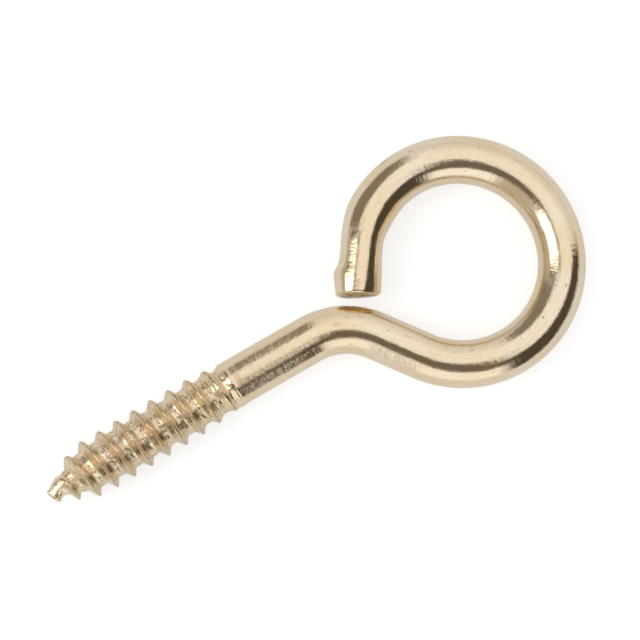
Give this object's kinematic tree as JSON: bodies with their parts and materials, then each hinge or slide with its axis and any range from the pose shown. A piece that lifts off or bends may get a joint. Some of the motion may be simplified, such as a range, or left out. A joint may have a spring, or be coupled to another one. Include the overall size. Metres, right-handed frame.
{
  "type": "screw eye",
  "caption": "Screw eye bent from round wire: blunt-pointed wood thread, plain shank and an open round eye.",
  "frame": {"origin": "on the thread's axis, where the thread ends at the plain shank", "axes": "+X along the thread's axis from the point towards the eye, +Z at right angles to the plane of the eye"},
  "size_m": [0.0399, 0.0169, 0.004],
  "materials": {
    "brass_plate": "bright plated wire, slightly mottled"
  },
  "bodies": {
    "root": {"screw_eye": "brass_plate"}
  },
  "joints": []
}
